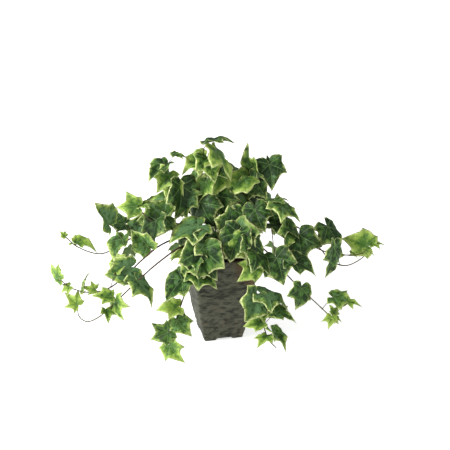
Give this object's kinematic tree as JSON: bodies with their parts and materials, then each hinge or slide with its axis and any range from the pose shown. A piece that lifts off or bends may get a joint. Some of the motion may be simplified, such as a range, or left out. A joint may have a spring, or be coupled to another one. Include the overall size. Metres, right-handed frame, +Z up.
{
  "type": "potted ivy",
  "caption": "Variegated ivy mounding over and trailing from a dark square tapering pot with corner feet and a rippled surface.",
  "frame": {"origin": "on the surface that the pot stands on, under the middle of the plant's spread, which is within 4 mm of the pot's centre", "axes": "+Z up, +X along the plant's widest spread, -Y towards the side with the fullest trailing growth"},
  "size_m": [0.5746, 0.3268, 0.356],
  "materials": {
    "pot": "matt, rippled",
    "soil": "crumbly",
    "stem": "smooth bark",
    "leaf": "waxy, variegated"
  },
  "bodies": {
    "root": {"pot": "pot", "soil": "soil", "stem_left_high": "stem", "stem_left_middle": "stem", "stem_left_curl": "stem", "stem_front_left": "stem", "stem_front_right": "stem", "stem_right_high": "stem", "stem_right_second": "stem", "stem_right_low": "stem", "stem_top_left": "stem", "stem_top_middle": "stem", "stem_top_right": "stem", "stem_left_centre": "stem", "stem_right_centre": "stem", "stem_crown_left": "stem", "stem_crown_right": "stem", "stem_back_left": "stem", "stem_back_inner_left": "stem", "stem_back_middle": "stem", "stem_back_right": "stem", "stem_crown_back": "stem", "leaf_left_high_1": "leaf", "leaf_left_high_2": "leaf", "leaf_left_middle_1": "leaf", "leaf_left_middle_2": "leaf", "leaf_left_curl_1": "leaf", "leaf_left_curl_2": "leaf", "leaf_front_left_1": "leaf", "leaf_front_left_2": "leaf", "leaf_front_right_1": "leaf", "leaf_front_right_2": "leaf", "leaf_right_high_1": "leaf", "leaf_right_high_2": "leaf", "leaf_right_second_1": "leaf", "leaf_right_second_2": "leaf", "leaf_right_low_1": "leaf", "leaf_right_low_2": "leaf", "leaf_top_left_1": "leaf", "leaf_top_left_2": "leaf", "leaf_top_middle_1": "leaf", "leaf_top_middle_2": "leaf", "leaf_top_right_1": "leaf", "leaf_top_right_2": "leaf", "leaf_left_centre_1": "leaf", "leaf_left_centre_2": "leaf", "leaf_right_centre_1": "leaf", "leaf_right_centre_2": "leaf", "leaf_crown_left_1": "leaf", "leaf_crown_left_2": "leaf", "leaf_crown_right_1": "leaf", "leaf_crown_right_2": "leaf", "leaf_back_left_1": "leaf", "leaf_back_left_2": "leaf", "leaf_back_inner_left_1": "leaf", "leaf_back_inner_left_2": "leaf", "leaf_back_middle_1": "leaf", "leaf_back_middle_2": "leaf", "leaf_back_right_1": "leaf", "leaf_back_right_2": "leaf"}
  },
  "joints": []
}
